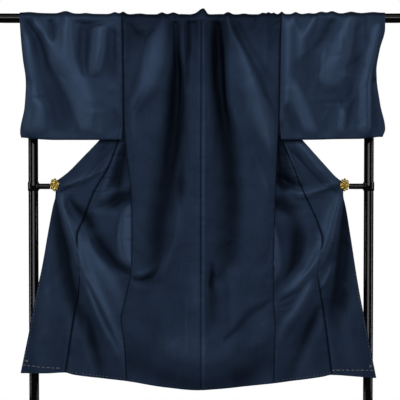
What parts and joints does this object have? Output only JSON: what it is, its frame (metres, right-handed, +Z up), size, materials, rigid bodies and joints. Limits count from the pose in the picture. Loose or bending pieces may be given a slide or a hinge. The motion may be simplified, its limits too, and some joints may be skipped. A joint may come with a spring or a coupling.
{
  "type": "kimono on a standing display rack",
  "caption": "Plain dark kimono threaded by its sleeves on the pole of a two-post rack, shown from its back, with both fronts opened out and clipped to the posts.",
  "frame": {"origin": "middle of the bounding box at floor level", "axes": "+Z up, X across the garment along the pole, the garment's back faces -Y"},
  "size_m": [1.6226, 0.4, 1.6166],
  "materials": {
    "cloth": "dark navy silk with a soft sheen",
    "paint": "glossy black paint",
    "gilt": "polished gilt",
    "rubber": "matt black",
    "thread": "white cotton basting thread"
  },
  "bodies": {
    "root": {"body_left": "cloth", "body_right": "cloth", "sleeve_left": "cloth", "sleeve_right": "cloth", "okumi_left": "cloth", "okumi_right": "cloth", "collar": "cloth", "pole": "paint", "low_rail": "paint", "post_left": "paint", "tee_left": "paint", "upper_arm_left": "paint", "saddle_left": "paint", "foot_left": "paint", "pole_cap_left": "rubber", "post_cap_left": "rubber", "clip_left": "gilt", "ornament_left": "gilt", "pad_front_left": "rubber", "pad_back_left": "rubber", "post_right": "paint", "tee_right": "paint", "upper_arm_right": "paint", "saddle_right": "paint", "foot_right": "paint", "pole_cap_right": "rubber", "post_cap_right": "rubber", "clip_right": "gilt", "ornament_right": "gilt", "pad_front_right": "rubber", "pad_back_right": "rubber"}
  },
  "joints": []
}
